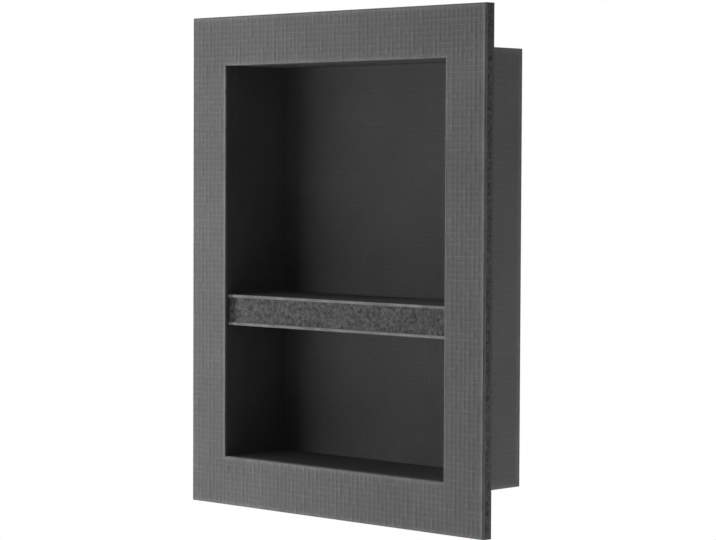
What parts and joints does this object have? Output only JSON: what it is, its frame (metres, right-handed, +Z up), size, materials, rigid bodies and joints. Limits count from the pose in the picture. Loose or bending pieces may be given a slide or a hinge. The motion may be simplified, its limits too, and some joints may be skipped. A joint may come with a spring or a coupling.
{
  "type": "shower niche insert",
  "caption": "Recessed shower niche of coated backer board: a wide flat flange, an open box behind it and a thick fixed shelf that divides it into a tall and a low bay.",
  "frame": {"origin": "middle of the opening on the flange's back face, the plane that meets the wall studs", "axes": "+X to the right seen from the room, +Y into the wall, +Z up"},
  "size_m": [0.4064, 0.1, 0.508],
  "materials": {
    "mesh_coated_board": "matte dark grey cement coat over glass mesh",
    "shelf_board": "matte dark grey cement coat, cut front edge with a rough foam core"
  },
  "bodies": {
    "root": {"front_flange": "mesh_coated_board", "left_wall": "mesh_coated_board", "right_wall": "mesh_coated_board", "top_wall": "mesh_coated_board", "bottom_wall": "mesh_coated_board", "back_panel": "mesh_coated_board", "shelf": "shelf_board"}
  },
  "joints": []
}
